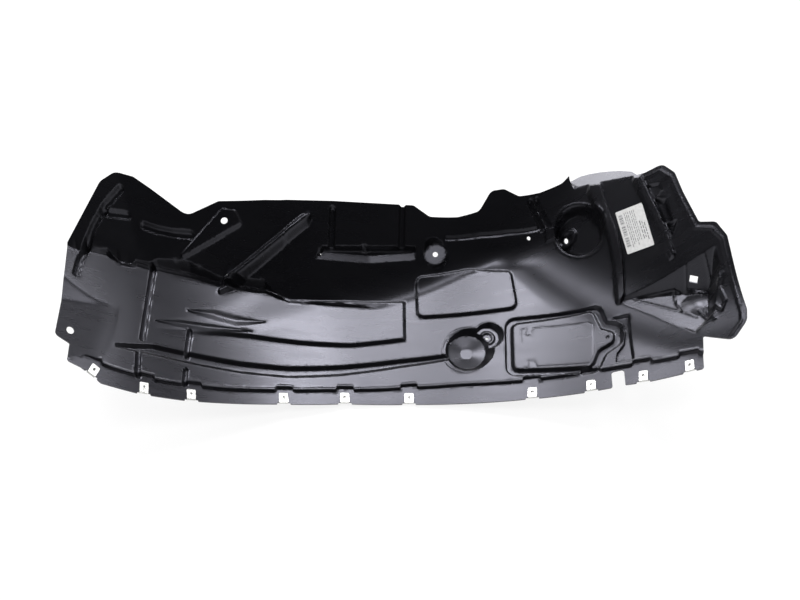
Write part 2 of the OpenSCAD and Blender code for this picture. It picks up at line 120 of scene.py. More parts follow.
soft_box("back_box", (0.0, 1.35, 2.3), (0.0, 0.0, 0.1), 0.5, 0.9, 23)
soft_box("left_box", (-0.68, 1.15, 1.9), (0.05, 0.0, 0.1), 0.45, 0.8, 25)
soft_box("right_box", (0.60, 1.15, 1.95), (-0.05, 0.0, 0.1), 0.4, 0.8, 28)
soft_box("left_far", (-1.35, 1.05, 1.35), (0.2, 0.0, 0.1), 0.4, 0.8, 13)
soft_box("right_far", (1.85, 1.15, 1.05), (-0.3, 0.0, 0.1), 0.3, 0.7, 8)
soft_box("right_side", (1.75, -0.05, 1.35), (-0.3, 0.0, 0.1), 0.3, 0.6, 12)
soft_box("left_side", (-1.75, -0.05, 1.35), (0.3, 0.0, 0.1), 0.3, 0.6, 9)
soft_box("top_strip", (0.1, -0.2, 2.5), (0.0, 0.0, 0.1), 2.2, 0.35, 22)
soft_box("top_left", (-0.62, -0.35, 2.2), (0.3, 0.0, 0.1), 0.5, 0.5, 9)
soft_box("back_sheet", (0.0, 1.9, 0.55), (0.0, 0.0, 0.25), 3.2, 0.7, 80)
room = bpy.data.worlds.new("room")
bpy.context.scene.world = room
room.use_nodes = True
room_nodes = room.node_tree.nodes
room_light = room_nodes["Background"]
room_light.inputs["Color"].default_value = (0.022, 0.022, 0.026, 1)
room_seen = room_nodes.new("ShaderNodeBackground")
room_seen.inputs["Color"].default_value = (1, 1, 1, 1)
room_rays = room_nodes.new("ShaderNodeLightPath")
room_mix = room_nodes.new("ShaderNodeMixShader")
room.node_tree.links.new(room_rays.outputs["Is Camera Ray"], room_mix.inputs["Fac"])
room.node_tree.links.new(room_light.outputs[0], room_mix.inputs[1])
room.node_tree.links.new(room_seen.outputs[0], room_mix.inputs[2])
room.node_tree.links.new(room_mix.outputs[0], room_nodes["World Output"].inputs["Surface"])


# Liner panel: one sheet of black polypropylene, moulded as a stretch of barrel that runs
# round the tyre and bends up into a sloped inner wall. All sizes here are in millimetres,
# and heights are over the barrel's bottom line until the mesh is set in place.
MM = 0.001
BARREL_R = 660.04
WALL = 2.4
LIFT = 8.4
SLOPE = math.radians(50)
LEFT_BEND, LEFT_FILLET = 23.0, 6.0
RIGHT_BEND, RIGHT_FILLET = 95.0, 45.0
STEEP_SLOPE, STEEP_FILLET = math.radians(68), 3.0
CREASE = [(-459, 14), (-447, 20), (-441, 16), (-434, 23), (-409, 28), (-399, 24), (-393, 21), (-379, 24),
          (-374, 28), (-356, 28), (-346, 31), (-303, 34), (-262, 30), (-234, 31), (-199, 33), (-181, 26),
          (-163, 21)]
END_WALL = ((-459.0, 18.0, 185.7), (-346.0, 27.0, 98.0), (-388.0, 114.0, 221.0))
LEFT_FOOT = ((-95.0, 25.0), (100.0, 93.0))
RIGHT_FOOT = ((190.0, 95.0), (406.0, -76.0))


def barrel_height(x, radius=BARREL_R):
    return BARREL_R - np.sqrt(np.maximum(radius * radius - x * x, 0))


def revolved_height(x, y, bend, fillet, slope=SLOPE):
    start = bend - fillet * math.tan(slope / 2)
    end = start + fillet * math.sin(slope)
    inside = np.clip(y - start, 0, fillet * math.sin(slope))
    drop = fillet - np.sqrt(fillet * fillet - inside * inside)
    drop = np.where(y > end, (y - bend) * math.tan(slope), drop)
    return barrel_height(x, BARREL_R - drop)


def plane_height(x, y, a, b, c):
    normal = np.cross(np.subtract(b, a), np.subtract(c, a))
    return a[2] - ((x - a[0]) * normal[0] + (y - a[1]) * normal[1]) / normal[2]


def foot_height(x, y, foot):
    (x1, y1), (x2, y2) = foot
    z1, z2 = barrel_height(x1), barrel_height(x2)
    length = math.hypot(x2 - x1, y2 - y1)
    along_x, along_y = (x2 - x1) / length, (y2 - y1) / length
    rise = (z2 - z1) / length
    along = (x - x1) * along_x + (y - y1) * along_y
    across = -(x - x1) * along_y + (y - y1) * along_x
    return z1 + along * rise + across * math.tan(SLOPE) * math.hypot(1, rise)


def upper(a, b, blend):
    share = np.clip(0.5 + (a - b) / (2 * blend), 0, 1)
    return b + (a - b) * share + blend * share * (1 - share)


def lower(a, b, blend):
    return -upper(-a, -b, blend)


def base_height(x, y):
    crease = np.interp(x, *zip(*CREASE))
    left_wall = revolved_height(x, y, np.minimum(LEFT_BEND, crease), LEFT_FILLET)
    step = revolved_height(x, np.minimum(y, crease + 12), crease, STEEP_FILLET, STEEP_SLOPE)
    left_wall = np.where(y > crease + 12, left_wall, np.minimum(left_wall, step))
    deep = revolved_height(x, y, RIGHT_BEND, RIGHT_FILLET)
    deep = upper(deep, foot_height(x, y, LEFT_FOOT), 30)
    deep = upper(deep, plane_height(x, y, *END_WALL), 2)
    join = 0.01 + 4 * np.clip((np.minimum(left_wall, deep) - barrel_height(x)) / 6, 0, 1)
    return upper(lower(left_wall, deep, join), foot_height(x, y, RIGHT_FOOT), 46)


# Reliefs pressed into the panel: each is an outline or a path in plan, its height over the
# sheet and the width of its drafted edge, as the mould draws straight up.
def corner_arc(outline, steps=5):
    points = []
    for i, (px, py, radius) in enumerate(outline):
        p = np.array((px, py))
        a = np.array(outline[i - 1][:2])
        b = np.array(outline[(i + 1) % len(outline)][:2])
        to_a, to_b = (a - p) / np.linalg.norm(a - p), (b - p) / np.linalg.norm(b - p)
        turn = math.pi - math.acos(np.clip(to_a @ to_b, -1, 1))
        if radius == 0 or turn < 0.02:
            points.append(tuple(p))
            continue
        reach = radius * math.tan(turn / 2)
        start, end = p + to_a * reach, p + to_b * reach
        centre = p + (to_a + to_b) / np.linalg.norm(to_a + to_b) * math.hypot(reach, radius)
        first = math.atan2(*(start - centre)[::-1])
        last = math.atan2(*(end - centre)[::-1])
        sweep = (last - first + math.pi) % (2 * math.pi) - math.pi
        for k in range(steps + 1):
            angle = first + sweep * k / steps
            points.append(tuple(centre + radius * np.array((math.cos(angle), math.sin(angle)))))
    return points


def ramp(distance, width):
    share = np.clip(distance / width + 0.5, 0, 1)
    return share * share * (3 - 2 * share)


def segment_distance(x, y, a, b):
    dx, dy = b[0] - a[0], b[1] - a[1]
    share = np.clip(((x - a[0]) * dx + (y - a[1]) * dy) / (dx * dx + dy * dy), 0, 1)
    return np.hypot(x - a[0] - share * dx, y - a[1] - share * dy), share


def inside_outline(x, y, outline, grow=0.0):
    nearest = np.full(x.shape, 1e6)
    odd = np.zeros(x.shape, bool)
    for a, b in zip(outline, outline[1:] + outline[:1]):
        nearest = np.minimum(nearest, segment_distance(x, y, a, b)[0])
        if a[1] != b[1]:
            crosses = (a[1] > y) != (b[1] > y)
            odd ^= crosses & (x < (b[0] - a[0]) * (y - a[1]) / (b[1] - a[1]) + a[0])
    return np.where(odd, nearest, -nearest) + grow


def inside_band(x, y, path, widths):
    best = np.full(x.shape, 1e6)
    half = np.zeros(x.shape)
    for a, b, wa, wb in zip(path, path[1:], widths, widths[1:]):
        distance, share = segment_distance(x, y, a, b)
        width = (wa + (wb - wa) * share) / 2
        closer = distance - width < best - half
        best = np.where(closer, distance, best)
        half = np.where(closer, width, half)
    return half - best


def rounded_ridge(x, y, path, widths):
    """Share of a half-round ridge's height: 1 on its crest, 0 at its sides."""
    best = np.full(x.shape, 9.0)
    for a, b, wa, wb in zip(path, path[1:], widths, widths[1:]):
        distance, share = segment_distance(x, y, a, b)
        best = np.minimum(best, distance / ((wa + (wb - wa) * share) / 2))
    best = np.clip(best, 0, 1)
    return 0.5 + 0.5 * np.cos(math.pi * best)


LIP = [(-403, -166.1), (-361, -166.7), (-302, -161.5), (-240, -153), (-170, -143.5), (-79, -135),
       (0, -133.5), (85, -133.5), (177, -137), (242, -140), (314, -141), (342, -144), (408, -147)]
FLANGE_LINE = [(-470, -134), (-421, -138), (-389, -142), (-350, -143), (-324, -142), (-246, -134.5),
               (-178, -125.5), (-108, -117.5), (14, -109.5), (90, -107), (179, -110), (261, -111),
               (323, -115), (375, -121), (405, -126), (470, -138)]
PLATEAU = [(26, 6, 10), (173, 10, 10), (166, 74, 10), (106, 84, 30), (24, 68, 10)]
PANEL_PATCH = [(-340, -64), (-296, -56), (-251, -48), (-217, -45), (-146, -45), (-73, -43), (7, -31),
               (6, 33), (-112, 25), (-163, 23), (-215, 40), (-340, 40)]
LONG_GROOVE = [(-385, -105), (-343, -97), (-290, -96), (-230, -96), (-160, -93), (-90, -84), (0, -69),
               (72, -60)]
TRAY = [(153, -97, 15), (278, -113, 15), (291, -88, 7), (313, -76, 12), (314, -49, 12), (294, -38, 7),
        (287, -12, 15), (155, -5, 14)]
TRAY_FACE = [(163, -90, 10), (271, -104, 10), (282, -80, 9), (302, -72, 9), (304, -57, 9), (287, -46, 7),
             (277, -16, 10), (164, -14, 10)]
SIDE_POCKET = [(303, -36), (323, -39), (325, -105), (303, -104), (305, -92), (315, -80), (318, -62),
               (315, -48)]
SCORE = [(176, -48), (176, -26), (184, -24), (184, -31), (181, -36), (190, -38), (194, -26), (270, -33),
         (277, -38), (274, -86), (268, -98), (196, -89), (192, -80), (184, -78), (184, -90), (178, -88)]
LONG_BEADS = [([(278, 133), (286, 109), (293, 90), (301, 70), (306, 50), (310, 31), (312, 6), (313, -15)],
               [15, 13, 12, 11, 11, 11, 10.5, 10], 5.0),
              ([(331, 118), (345, 84), (353, 66), (362, 46), (375, 10)], [9, 9, 9, 8, 6], 3.5)]
POCKET_RIBS = [([(330, -18), (381, -23), (389, -27)], 1.6), ([(382, -24), (383, -42), (389, -56)], 1.6),
               ([(332, -20), (387, -55), (407, -71)], 1.2), ([(390, 4), (412, -4), (424, -24)], 1.6),
               ([(388, 4), (396, -24)], 1.6)]
GROOVES = [([(-353, 29), (-357, -85)], 5.5, 4.0), ([(-360, -107), (-358, -141)], 5, 4.0),
           ([(-299, -116), (-299, -137)], 5, 4.0), ([(-298, -55), (-300, -93)], 5, 4.0),
           ([(-388, 99), (-408, 75), (-423, 50), (-435, 25), (-441, 6), (-443, -19)], 6, 4.0),
           ([(-411, 67), (-382, 74)], 7, 3.5), ([(-98, 122), (-101, 84)], 8, 4.0),
           ([(4, 140), (2, 98)], 8, 4.0), ([(192, 149), (211, 116)], 5, 4.0),
           ([(201, 149), (220, 116)], 5, 4.0),
           ([(-361, 68), (-344, 66), (-322, 66), (-298, 69)], 7, 3.5),
           ([(69, 117), (122, 123), (162, 123), (205, 118)], 3.5, 1.8)]
RIGHT_RIM = [(441, -116), (453, -101), (453, -89), (431, 2), (419, 19), (401, 28),
             (381, 73), (371, 98), (358, 112), (341, 113)]
LEDGE = [(-127, 67), (-113, 83), (23, 102), (23, 87), (-46, 74)]
LEDGE_FOOT = [(-127, 68), (-46, 75), (23, 88)]
LEDGE_SLOPE, LEDGE_DEEP = math.tan(math.radians(12)), 11.0
RELIEF, SIDE_POCKET_DEEP, FLANGE_STEP = 5.0, 3.5, 3.0
PLATEAU_DRAFT, PATCH_DRAFT, GROOVE_DRAFT, FACE_DRAFT, DRAFT, FINE_DRAFT = 6, 6.5, 7, 6, 4, 3
PATCH_CORNER, PATCH_AWAY, PATCH_FADE_AT, PATCH_FADE = (-300, -56), (86 / 156, -130 / 156), 8, 70
LONG_GROOVE_W = [3, 12, 13, 13, 13, 12, 9, 6]
RIDGES = [([(-262, 20), (-252, 30), (-138, 105), (-130, 110)], [10, 18, 17, 7], 7.0),
          ([(-304, -22), (-270, -20), (-236, -24), (-196, -19)], [3, 21, 21, 3], 1.7),
          ([(-343, -51), (-310, -46), (-270, -43), (-213, -37)], [3, 15, 15, 3], 1.7)]
SHORT_PAD, SHORT_PAD_HIGH = [(214, 113), (226, 112), (229, 97), (216, 98)], 3.0
CREASE_BEAD, CREASE_BEAD_W, CREASE_BEAD_HIGH = CREASE[4:], 3, 1.2
RIM_W, RIM_HIGH = 6, 1.0
SCORE_W, SCORE_DEEP = 1.4, 0.45
DIMPLE, DIMPLE_R, DIMPLE_DEEP = (294, -63), 2.2, 1.2
STEP_POCKETS = [([(345, 103), (358, 99), (363, 90), (352, 84)], 2.5),
                ([(354, 84), (366, 76), (375, 50), (363, 53)], 4.0),
                ([(368, 51), (380, 47), (375, 34)], 5.0)]
FLANGE_SET_BACK, SET_BACK_HALF, FLANGE_BEAD_HIGH = 5, 12, 0.8
CORNER_CLIP_X, CLIP_X = -413, [-349, -289, -165, -79, 13, 188, 268, 335, 392]
TRI_PAD = [(-311, 47), (-253, 98), (-236, 99), (-230, 91), (-294, 56)]
DISH_CENTRE, DISH_DEPTH = (260.0, 93.0), 13.0
DISH_HALF_X, DISH_HALF_Y, DISH_SKEW = 31.0, 28.0, 14.0
DISH_LEAN_X, DISH_LEAN_Y, DISH_FLARE, WALL_STEEP = 0.55, 0.3, 0.8, 1.68
DISH_SIDE_AT, DISH_SIDE_SCALE, DISH_SIDE_W = 0.92, 34, 8
BOSS_AT, BOSS_R, BOSS_HIGH = (245, 98), 10, 3.0
PAD_AT, PAD_HIGH = (-251.0, 88.0), 3.0
SEAT_CENTRE, SEAT_R, SEAT_SLOPE = (53.0, 98.5), 17.5, math.radians(22)
CUP, CUP_RIM, CUP_KNEE, CUP_FLOOR, CUP_BOTTOM = (98.0, -50.0), 34.5, 27.5, 9.0, -6.0
CUP_SLOPE, CUP_STEEP = 0.25, 1.0
SMALL_CUP, SMALL_CUP_R, SMALL_CUP_FLOOR, SMALL_CUP_DEPTH = (128.0, -30.0), 20.5, 17.0, 8.0
SMALL_CUP_TOP, SMALL_CUP_STEEP, DRAIN_RING_R, DRAIN_RING_HIGH = 12.5, 1.9, 9, 2.2
CUP_BEAD_HIGH, DISH_BEAD_HIGH = 0.7, 0.9
TIP, STEEP_TOP = (329.0, -17.0, 98.0), (413.0, -2.5, 203.0)
STEEP_FOOT, LOW_CORNER = (421.0, -33.0, 145.0), (406.0, -76.0, 140.0)
WEDGE = [(312, -22), (402, -94), (422, -76), (428, -22), (420, 14), (378, 22), (322, -4)]
BULGE_AT, BULGE_R, BULGE_HIGH = (408, -50), 19, 4
BAR, BAR_W, BAR_HIGH = [(397, -28), (421, -35)], 4, 3.5
CRUMPLES = [([(409, -62), (424, -86), (418, -60), (432, -78), (436, -68), (430, -52)], 2.2),
            ([(424, -26), (432, -46), (433, -36)], 1.8)]
SHELF = [(245, 178), (247, 158), (252, 145), (333, 112), (345, 140), (300, 178)]
FACET = ((-394.0, -54.0, 130.5), (-405.0, -130.0, 139.0), (-455.0, -60.0, 172.0))
BANK = ((-396.0, -50.0, 132.0), (-455.0, -62.0, 172.0), (-455.0, -30.0, 181.9))
LEFT_END = [(-480, -145), (-425, -145), (-402, -130), (-392, -90), (-390, -46), (-432, -24), (-480, -22)]


def ring(x, y, centre):
    return np.hypot(x - centre[0], y - centre[1])


def fine_bead(distance):
    return ramp(1.3 - np.abs(distance), 1.6)


def relief_height(x, y):
    rise = RELIEF * ramp(inside_outline(x, y, corner_arc(PLATEAU)), PLATEAU_DRAFT)
    past_left_end = (x - PATCH_CORNER[0]) * PATCH_AWAY[0] + (y - PATCH_CORNER[1]) * PATCH_AWAY[1]
    patch = ramp(inside_outline(x, y, PANEL_PATCH), PATCH_DRAFT)
    rise += RELIEF * patch * ramp(past_left_end - PATCH_FADE_AT, PATCH_FADE)
    # Diagonal bead and swells, the two long beads beside the label, a short pad, crease and rim beads
    for path, widths, high in RIDGES:
        rise += high * rounded_ridge(x, y, path, widths)
    for path, widths, high in LONG_BEADS:
        rise += high * ramp(inside_band(x, y, path, widths), DRAFT)
    rise += SHORT_PAD_HIGH * ramp(inside_outline(x, y, SHORT_PAD), FINE_DRAFT)
    rise += CREASE_BEAD_HIGH * ramp(inside_band(x, y, CREASE_BEAD, [CREASE_BEAD_W] * len(CREASE_BEAD)), 2)
    rise += RIM_HIGH * rounded_ridge(x, y, RIGHT_RIM, [RIM_W] * len(RIGHT_RIM))
    # Long groove, the moat round the tray's face, the side pocket and the slim grooves
    fall = RELIEF * ramp(inside_band(x, y, LONG_GROOVE, LONG_GROOVE_W), GROOVE_DRAFT)
    face = ramp(inside_outline(x, y, corner_arc(TRAY_FACE)), FACE_DRAFT)
    moat = ramp(inside_outline(x, y, corner_arc(TRAY)), DRAFT) * (1 - face)
    pocket = ramp(inside_outline(x, y, SIDE_POCKET), FINE_DRAFT)
    fall += np.maximum(RELIEF * moat, SIDE_POCKET_DEEP * pocket)
    for path, width, deep in GROOVES:
        fall += deep * ramp(inside_band(x, y, path, [width] * len(path)), DRAFT)
    # Score line and dimple in the tray's floor, stepped pocket and slot beside the short bead
    fall += SCORE_DEEP * ramp(inside_band(x, y, SCORE, [SCORE_W] * len(SCORE)), SCORE_W)
    fall += DIMPLE_DEEP * ramp(DIMPLE_R - ring(x, y, DIMPLE), 1.5)
    for pocket_outline, deep in STEP_POCKETS:
        fall += deep * ramp(inside_outline(x, y, pocket_outline), FINE_DRAFT)
    # Flange along the lip, its step set back behind each clip and lipped with a fine bead
    line = np.interp(x, *zip(*FLANGE_LINE))
    for clip_x in [CORNER_CLIP_X] + CLIP_X:
        line = line + FLANGE_SET_BACK * ramp(SET_BACK_HALF - np.abs(x - clip_x), FINE_DRAFT)
    fall += FLANGE_STEP * ramp(line - y, FINE_DRAFT)
    rise += FLANGE_BEAD_HIGH * ramp(1.6 - np.abs(y - line - 3.4), 1.8)
    return rise - fall


def formed_height(x, y):
    base = base_height(x, y)
    slope_x = base_height(x + 0.5, y) - base_height(x - 0.5, y)
    slope_y = base_height(x, y + 0.5) - base_height(x, y - 0.5)
    steep = np.sqrt(1 + slope_x ** 2 + slope_y ** 2)
    z = base + steep * relief_height(x, y)
    # Ledge cut into the left wall: a shallow floor that starts at its lower line
    below = np.interp(x, *zip(*LEDGE_FOOT))
    floor = base_height(x, below) + (y - below) * LEDGE_SLOPE
    inside = ramp(inside_outline(x, y, LEDGE), 2.5)
    z = z + (lower(z, np.maximum(floor, base - LEDGE_DEEP), 0.5) - z) * inside
    # Triangular pad, flat in the plane that touches the wall at its hole
    at = [np.array([v]) for v in PAD_AT]
    pad_z = base_height(*at)[0]
    pad_dx = base_height(at[0] + 1, at[1])[0] - pad_z
    pad_dy = base_height(at[0], at[1] + 1)[0] - pad_z
    pad = pad_z + pad_dx * (x - PAD_AT[0]) + pad_dy * (y - PAD_AT[1])
    pad = pad + PAD_HIGH * math.sqrt(1 + pad_dx ** 2 + pad_dy ** 2)
    share = ramp(inside_outline(x, y, TRI_PAD, 2), 4)
    z = z + (pad - z) * share
    # Dish in the right wall, round about the wall's normal
    dish_x, dish_y = x - DISH_CENTRE[0], y - DISH_CENTRE[1]
    wall = foot_height(x, y, RIGHT_FOOT)
    depth = np.zeros(x.shape)
    for _ in range(3):
        shift = depth * DISH_FLARE
        u = (dish_x - DISH_LEAN_X * shift) / DISH_HALF_X
        v = (dish_y + DISH_SKEW * u - DISH_LEAN_Y * shift) / DISH_HALF_Y
        reach = np.hypot(u, v)
        depth = DISH_DEPTH * (1 - ramp((reach - DISH_SIDE_AT) * DISH_SIDE_SCALE, DISH_SIDE_W))
    boss = np.hypot(x - BOSS_AT[0], (y - BOSS_AT[1]) * 1.2) - BOSS_R
    depth = depth - BOSS_HIGH * ramp(3.5 - np.abs(boss), 5)
    z = np.where(depth > 0.01, np.minimum(z, wall - depth * WALL_STEEP), z)
    z = z + DISH_BEAD_HIGH * fine_bead((reach - 1.13) * 30)
    # Screw seat: a round face that leans to the front, sunk behind and proud in front
    seat_z = foot_height(np.array([SEAT_CENTRE[0]]), np.array([SEAT_CENTRE[1]]), LEFT_FOOT)[0]
    seat = seat_z + (y - SEAT_CENTRE[1]) * math.tan(SEAT_SLOPE)
    reach = np.hypot(x - SEAT_CENTRE[0], (y - SEAT_CENTRE[1]) / math.cos(SEAT_SLOPE))
    z = z + (seat - z) * ramp(SEAT_R - reach, 4)
    # Round cups in the barrel, the small one with a raised ring round its drain hole
    reach = ring(x, y, CUP)
    cup = CUP_BOTTOM + CUP_SLOPE * np.maximum(0, reach - CUP_FLOOR)
    cup = cup + CUP_STEEP * np.maximum(0, reach - CUP_KNEE)
    z = z + CUP_BEAD_HIGH * fine_bead(reach - CUP_RIM - 1.6)
    z = lower(z, np.where(reach < CUP_RIM + 12, cup, 1e3), 0.8)
    reach = ring(x, y, SMALL_CUP)
    small = SMALL_CUP_TOP - SMALL_CUP_DEPTH + SMALL_CUP_STEEP * np.maximum(0, reach - SMALL_CUP_FLOOR)
    small = small + DRAIN_RING_HIGH * ramp(2 - np.abs(reach - DRAIN_RING_R), FINE_DRAFT)
    outside = ramp(ring(x, y, CUP) - CUP_RIM - 3, FINE_DRAFT)
    z = z + CUP_BEAD_HIGH * outside * fine_bead(reach - SMALL_CUP_R - 1.2)
    z = lower(z, np.where(reach < SMALL_CUP_R + 8, small, 1e3), 0.8)
    # Wedge-shaped pocket in the right wall
    pocket = upper(plane_height(x, y, TIP, STEEP_TOP, STEEP_FOOT),
                   plane_height(x, y, TIP, STEEP_FOOT, LOW_CORNER), 2)
    # Its bulge, the bar under the square hole, the ribs along its folds and the crumpled fold
    pocket = pocket + BULGE_HIGH * np.clip(1 - (ring(x, y, BULGE_AT) / BULGE_R) ** 2, 0, 1)
    pocket = pocket + BAR_HIGH * ramp(inside_band(x, y, BAR, [BAR_W, BAR_W]), 2.5)
    for path, high in POCKET_RIBS:
        pocket = pocket + high * ramp(inside_band(x, y, path, [2.4] * len(path)), 2.4)
    inside = ramp(inside_outline(x, y, WEDGE), 5)
    z = z + (lower(z, pocket, 1.5) - z) * inside
    for path, high in CRUMPLES:
        z = z + high * ramp(inside_band(x, y, path, [3.0] * len(path)), 3.6)
    # Rim turned back level from the top of the right wall
    edge_z = foot_height(np.array([273.0, 323.0]), np.array([141.0, 124.0]), RIGHT_FOOT)
    shelf = plane_height(x, y, (273, 141, edge_z[0]), (323, 124, edge_z[1]), (290, 191, edge_z[0]))
    inside = ramp(inside_outline(x, y, SHELF), FINE_DRAFT)
    z = z + (lower(z, shelf, 1) - z) * inside
    # Flat facet under the hole at the left end, with a lit slope down to it
    end_floor = upper(plane_height(x, y, *FACET), plane_height(x, y, *BANK), 1)
    inside = ramp(inside_outline(x, y, LEFT_END), FINE_DRAFT)
    return z + (lower(z, end_floor, 1.5) - z) * inside


# The panel is a block under the formed front, less a block under the formed back. Both start
# from a coarse grid, and an edge is halved wherever the sheet bends away from it.
FRONT_STEPS, FRONT_ERROR = (3.2, 1.6, 0.8), 0.04
BACK_STEPS, BACK_ERROR = (5.6, 2.8, 1.4), 0.35
HALF_LENGTH, HALF_WIDTH, BLOCK_FLOOR = 462.0, 170.0, -80.0


def formed_back(x, y):
    back = formed_height(x, y) - WALL
    for k in range(8):
        turn = k * math.pi / 4
        reach, drop = ((WALL, 0.2), (0.75 * WALL, 0.66 * WALL))[k % 2]
        back = np.minimum(back, formed_height(x + reach * math.cos(turn), y + reach * math.sin(turn)) - drop)
    return back


def points_of(made, kind="geom"):
    return [v for v in made[kind] if isinstance(v, bmesh.types.BMVert)]


def raise_to(points, height):
    places = np.array([v.co for v in points])
    for point, z in zip(points, height(places[:, 0], places[:, 1]) + LIFT):
        point.co.z = z


def height_block(steps, error, height, grow):
    block = bmesh.new()
    across, deep = HALF_LENGTH + grow, HALF_WIDTH + grow
    bmesh.ops.create_grid(block, x_segments=round(2 * across / steps[0]),
                          y_segments=round(2 * deep / steps[0]), size=0.5)
    bmesh.ops.scale(block, vec=(2 * across, 2 * deep, 1), verts=block.verts)
    raise_to(block.verts[:], height)
    for step in steps[:-1]:
        long = [e for e in block.edges if (e.verts[0].co.xy - e.verts[1].co.xy).length > 0.8 * step]
        ends = np.array([[e.verts[0].co, e.verts[1].co] for e in long])
        middle = ends.mean(axis=1)
        bend = np.abs(height(middle[:, 0], middle[:, 1]) + LIFT - middle[:, 2])
        halved = bmesh.ops.subdivide_edges(block, edges=[e for e, b in zip(long, bend) if b > error], cuts=1,
                                           use_grid_fill=True)
        raise_to(points_of(halved, "geom_inner"), height)
    skirt = bmesh.ops.extrude_edge_only(block, edges=[e for e in block.edges if e.is_boundary])
    for point in points_of(skirt):
        point.co.z = BLOCK_FLOOR - grow
    bmesh.ops.contextual_create(block, geom=[e for e in block.edges if e.is_boundary])
    bmesh.ops.recalc_face_normals(block, faces=block.faces)
    return block


panel = height_block(FRONT_STEPS, FRONT_ERROR, formed_height, 0)
hollow = height_block(BACK_STEPS, BACK_ERROR, formed_back, 5)


# Trim: the moulding is cut to its outline, and the holes are punched along the wall's normal.
def lip_at(x):
    return float(np.interp(x, *zip(*LIP)))


CLIP_GAP, GAP_DEPTH, SLOT_W, SLOT_L = 19.0, 2.5, 5.5, 11.0
CORNER_CLIP, CORNER_CLIP_RUN = (CORNER_CLIP_X, -159.0), (22.5, -12.5)
NOTCH_X, NOTCH_W, NOTCH_L = 304.0, 19.0, 24.0


def plan_share(x):
    return math.sqrt(1 - (x / BARREL_R) ** 2)


def clip_cut(place, run, share):
    length = math.hypot(*run)
    ux, uy = run[0] / length, run[1] / length
    gap, slot, deep = CLIP_GAP / 2 * share, SLOT_W / 2 * share, GAP_DEPTH + SLOT_L
    steps = [(-gap, 0, 1.5), (-gap, GAP_DEPTH, 1), (-slot, GAP_DEPTH, 0), (-slot, deep, 2),
             (slot, deep, 2), (slot, GAP_DEPTH, 0), (gap, GAP_DEPTH, 1), (gap, 0, 1.5)]
    return [(place[0] + s * ux - t * uy, place[1] + s * uy + t * ux, r) for s, t, r in steps]


outline = [(-441, -149, 3), (-426, -152, 3)] + clip_cut(CORNER_CLIP, CORNER_CLIP_RUN, 0.85)
outline.append((-401, lip_at(-401), 4))
for clip_x in sorted(CLIP_X + [NOTCH_X]):
    if clip_x == NOTCH_X:
        half = NOTCH_W / 2 * plan_share(NOTCH_X)
        outline += [(NOTCH_X - half, lip_at(NOTCH_X), 2), (NOTCH_X - half, lip_at(NOTCH_X) + NOTCH_L, 4),
                    (NOTCH_X + half, lip_at(NOTCH_X) + NOTCH_L, 4), (NOTCH_X + half, lip_at(NOTCH_X), 2)]
    else:
        run = (20, lip_at(clip_x + 10) - lip_at(clip_x - 10))
        outline += clip_cut((clip_x, lip_at(clip_x)), run, plan_share(clip_x))
outline += [(408, lip_at(408), 2), (410, -102, 2), (444, -122, 8), (459, -104, 12), (459.3, -90, 20),
            (437, 3, 14), (424, 24, 12), (405, 33, 8), (386, 75, 30), (376, 101, 16), (361, 118, 14),
            (340, 119, 6), (331, 122, 3), (326, 132, 6), (312, 143, 30), (300, 150, 30), (288, 156, 30),
            (275, 161, 30), (262, 164, 12), (246, 161, 5), (236, 156, 16), (206, 155, 20), (176, 157, 14),
            (154, 166.5, 14), (135, 166.5, 12), (118, 147, 14), (86, 140, 20), (44, 136, 16), (20, 144, 10),
            (-97, 131, 40), (-195, 118, 30), (-258, 107, 16), (-302, 86, 20), (-349, 105, 12),
            (-371, 113, 12), (-393, 114, 18), (-413, 97, 24), (-457, 21, 8), (-456, -27, 40),
            (-459, -115, 6), (-441, -123, 3)]
cutter = bmesh.new()
rim = [cutter.verts.new((px, py, -60)) for px, py in corner_arc(outline)]
face = cutter.faces.new(rim)
raised = bmesh.ops.extrude_face_region(cutter, geom=[face])
bmesh.ops.translate(cutter, vec=(0, 0, 400), verts=points_of(raised))
bmesh.ops.recalc_face_normals(cutter, faces=cutter.faces)


def unit(v):
    return np.array(v) / np.linalg.norm(v)


def surface_point(px, py):
    at = np.array([px]), np.array([py])
    z = formed_height(*at)[0]
    dx = (formed_height(at[0] + 1, at[1])[0] - formed_height(at[0] - 1, at[1])[0]) / 2
    dy = (formed_height(at[0], at[1] + 1)[0] - formed_height(at[0], at[1] - 1)[0]) / 2
    return (px, py, z + LIFT), unit((-dx, -dy, 1))


def punch(tool, place, normal, diameter, sides=40, turn=0.0):
    made = bmesh.ops.create_cone(tool, cap_ends=True, segments=sides, radius1=diameter / 2,
                                 radius2=diameter / 2, depth=30)
    swing = Vector((0, 0, 1)).rotation_difference(Vector(normal)).to_matrix()
    if turn:
        bmesh.ops.rotate(tool, verts=made["verts"], cent=(0, 0, 0), matrix=Matrix.Rotation(turn, 3, "Z"))
    bmesh.ops.rotate(tool, verts=made["verts"], cent=(0, 0, 0), matrix=swing)
    bmesh.ops.translate(tool, verts=made["verts"], vec=place)


HOLES = {"end": (-442, -103, 11), "pad": (-251, 88, 10), "seat": (53, 98.5, 8), "wall": (191.5, 111, 6),
         "dish": (245, 98, 8), "drain": (128, -30, 5)}
drill = bmesh.new()
for px, py, diameter in HOLES.values():
    place, normal = surface_point(px, py)
    punch(drill, place, normal, diameter)
SQUARE_SIDE = 11.0
place, normal = surface_point(404, -20)
punch(drill, place, normal, SQUARE_SIDE * math.sqrt(2), sides=4, turn=math.radians(32))


def add_noise(nodes, links, vector, scale, detail):
    texture = nodes.new("ShaderNodeTexNoise")
    texture.inputs["Scale"].default_value = scale
    texture.inputs["Detail"].default_value = detail
    links.new(vector, texture.inputs["Vector"])
    return texture.outputs["Fac"]


